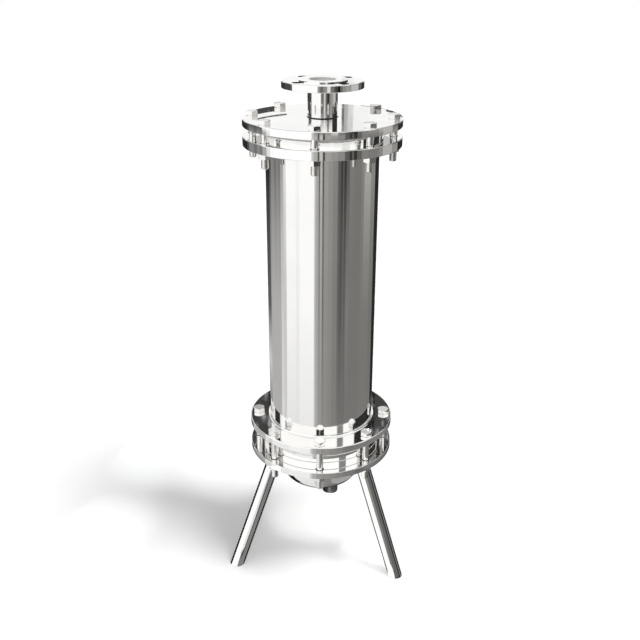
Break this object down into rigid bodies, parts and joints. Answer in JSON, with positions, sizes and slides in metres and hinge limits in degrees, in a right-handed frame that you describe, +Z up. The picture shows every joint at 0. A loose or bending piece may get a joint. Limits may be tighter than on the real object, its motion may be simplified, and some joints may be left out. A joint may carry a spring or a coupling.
{
  "type": "filter housing",
  "caption": "Cartridge filter housing: polished tube shell between bolted flange joints, flanged inlet on the cover, dished bottom with outlet spigot, on splayed tube legs.",
  "frame": {"origin": "on the vessel's axis, in the plane of the feet", "axes": "+Z up along the vessel's axis, -Y towards the front, between the front pair of legs"},
  "size_m": [0.3848, 0.3719, 1.048],
  "materials": {
    "shell_steel": "mirror-polished stainless steel",
    "flange_steel": "polished stainless steel plate, turned edges",
    "dish_steel": "polished stainless steel",
    "leg_steel": "polished stainless steel tube",
    "fastener_steel": "bright stainless steel",
    "inner_steel": "brushed stainless steel",
    "gasket_silicone": "white silicone",
    "seal_rubber": "black rubber",
    "cartridge_plastic": "white polypropylene"
  },
  "bodies": {
    "root": {"base_bolt_1": "fastener_steel", "base_bolt_2": "fastener_steel", "base_bolt_3": "fastener_steel", "base_bolt_4": "fastener_steel", "base_bolt_5": "fastener_steel", "base_bolt_6": "fastener_steel", "base_bolt_7": "fastener_steel", "base_bolt_8": "fastener_steel", "base_flange": "flange_steel", "base_gasket": "gasket_silicone", "base_nut_1": "fastener_steel", "base_nut_2": "fastener_steel", "base_nut_3": "fastener_steel", "base_nut_4": "fastener_steel", "base_nut_5": "fastener_steel", "base_nut_6": "fastener_steel", "base_nut_7": "fastener_steel", "base_nut_8": "fastener_steel", "body_bottom_flange": "flange_steel", "body_top_flange": "flange_steel", "cartridge_1": "cartridge_plastic", "cartridge_2": "cartridge_plastic", "cartridge_3": "cartridge_plastic", "cartridge_4": "cartridge_plastic", "cartridge_5": "cartridge_plastic", "clamp_nut": "inner_steel", "clamp_plate": "inner_steel", "clamp_rod": "inner_steel", "cover_bolt_1": "fastener_steel", "cover_bolt_2": "fastener_steel", "cover_bolt_3": "fastener_steel", "cover_bolt_4": "fastener_steel", "cover_bolt_5": "fastener_steel", "cover_bolt_6": "fastener_steel", "cover_bolt_7": "fastener_steel", "cover_bolt_8": "fastener_steel", "cover_gasket": "gasket_silicone", "cover_nut_1": "fastener_steel", "cover_nut_2": "fastener_steel", "cover_nut_3": "fastener_steel", "cover_nut_4": "fastener_steel", "cover_nut_5": "fastener_steel", "cover_nut_6": "fastener_steel", "cover_nut_7": "fastener_steel", "cover_nut_8": "fastener_steel", "cover_plate": "flange_steel", "dished_bottom": "dish_steel", "inlet_flange": "flange_steel", "inlet_pipe": "flange_steel", "leg_1": "leg_steel", "leg_2": "leg_steel", "leg_3": "leg_steel", "outlet_spigot": "dish_steel", "sheet_gasket": "gasket_silicone", "shell_tube": "shell_steel", "spigot_seals": "seal_rubber", "tube_sheet": "flange_steel"}
  },
  "joints": []
}
